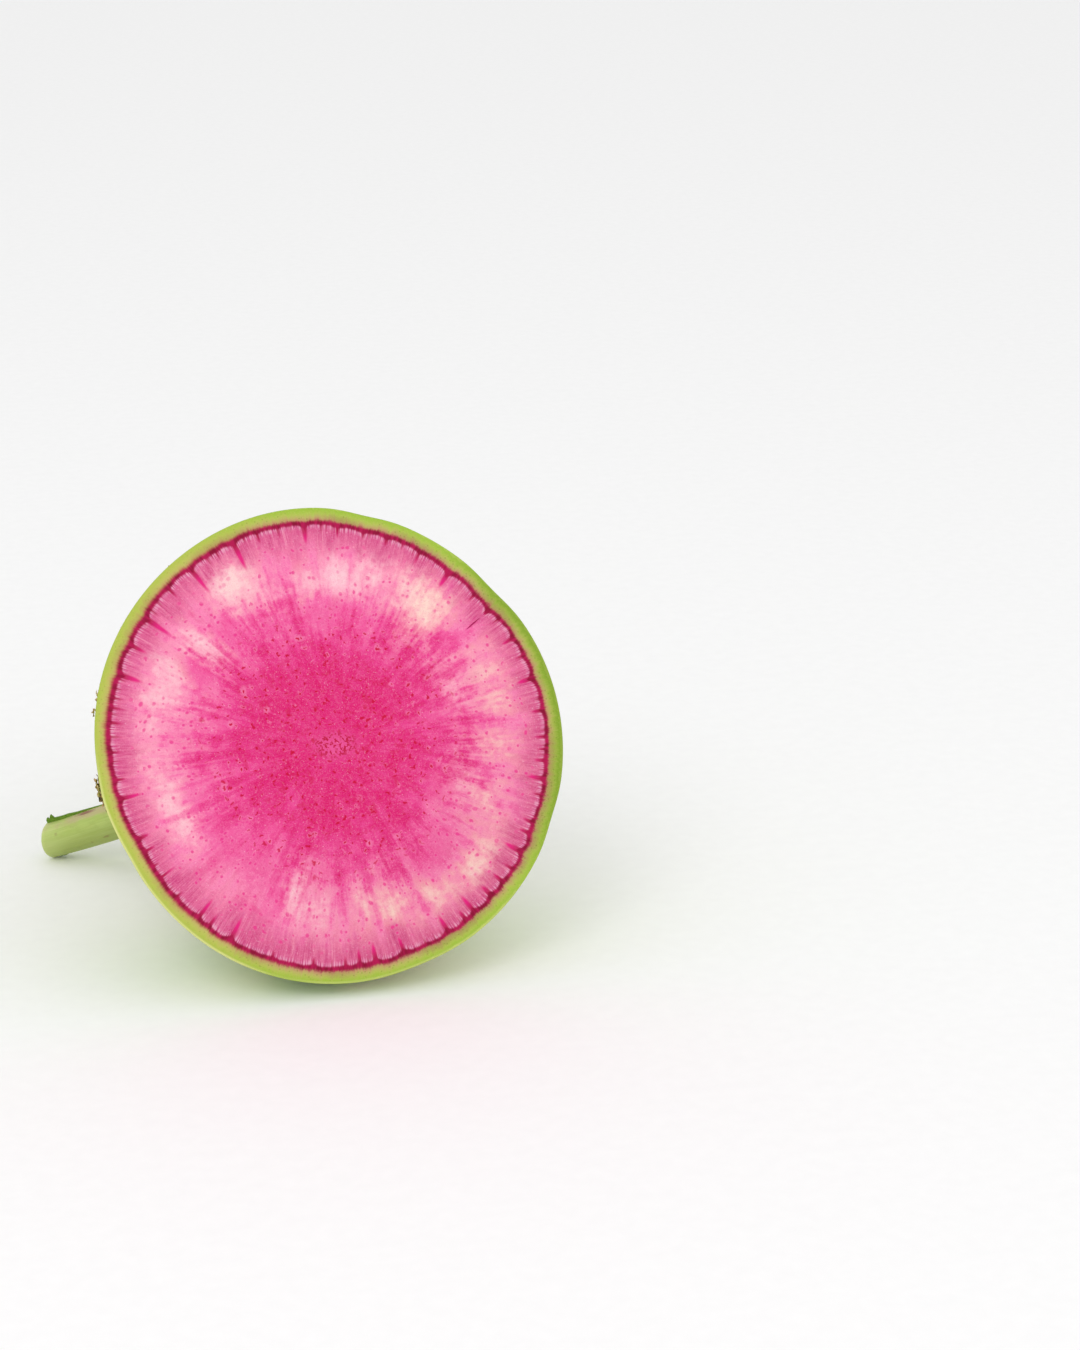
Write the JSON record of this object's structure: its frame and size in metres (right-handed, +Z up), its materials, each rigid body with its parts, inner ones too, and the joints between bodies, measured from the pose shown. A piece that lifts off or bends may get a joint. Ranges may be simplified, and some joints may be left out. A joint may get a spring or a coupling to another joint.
{
  "type": "red meat radish half",
  "caption": "Crown half of a round radish cut straight across, leaning back to show a flat magenta cut face inside a thin green rind, with cropped leaf stalks and young leaves at the back.",
  "frame": {"origin": "centre of the small flat spot on the root's flank where it rests on the table", "axes": "+Z up; -Y towards the side that the cut face looks at; the cut face leans back 19 degrees from upright, so its normal is (0, -0.9455, 0.3256)"},
  "size_m": [0.0979, 0.1183, 0.0886],
  "materials": {
    "skin": "satin, waxy, with dull corky patches",
    "flesh": "moist cut surface",
    "stalk": "satin",
    "leaf": "satin"
  },
  "bodies": {
    "root": {"radish_half": "skin", "leaf_stalk_left": "stalk", "leaf_stalk_right": "stalk", "leaf_stalk_low": "stalk", "leaf_stalk_back": "stalk", "leaf_stalk_top": "stalk", "young_leaf_centre": "leaf", "young_leaf_top": "leaf", "young_leaf_left": "leaf", "young_leaf_right": "leaf"}
  },
  "joints": []
}
